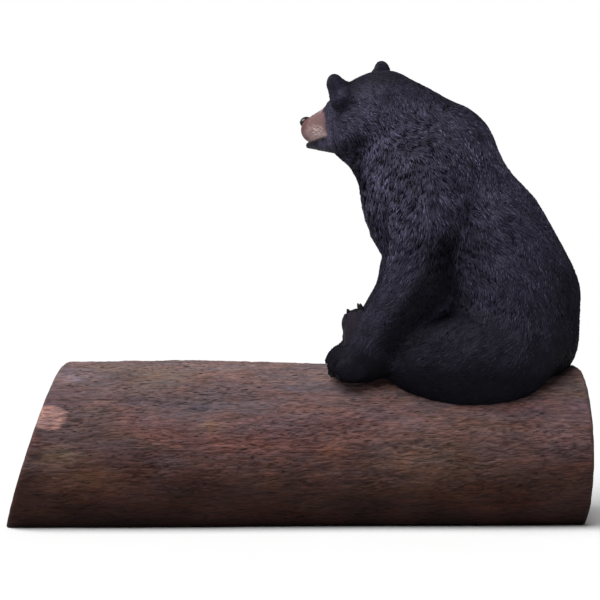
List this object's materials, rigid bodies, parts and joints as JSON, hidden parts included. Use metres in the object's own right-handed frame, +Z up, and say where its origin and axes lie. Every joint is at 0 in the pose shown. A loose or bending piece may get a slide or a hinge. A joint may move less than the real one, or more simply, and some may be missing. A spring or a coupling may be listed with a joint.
{
  "type": "seated bear statue on a log bench",
  "caption": "Near life-size painted cast black bear seated at one end of a round log bench, facing along the log with its head turned to one side.",
  "frame": {"origin": "on the ground under the middle of the whole statue's outer box", "axes": "+X along the log from the slanted cut to the square end where the bear sits, +Z up; the bear sits facing -X with its head turned towards +Y"},
  "size_m": [1.538, 0.4992, 1.2691],
  "materials": {
    "log_bark": "cast resin moulded as bark, painted grey-brown with darker washes, dull sheen",
    "bear_fur": "cast resin moulded as fur, painted near black with a tan muzzle and a glossy nose, satin sheen"
  },
  "bodies": {
    "root": {"log": "log_bark", "bear": "bear_fur"}
  },
  "joints": []
}
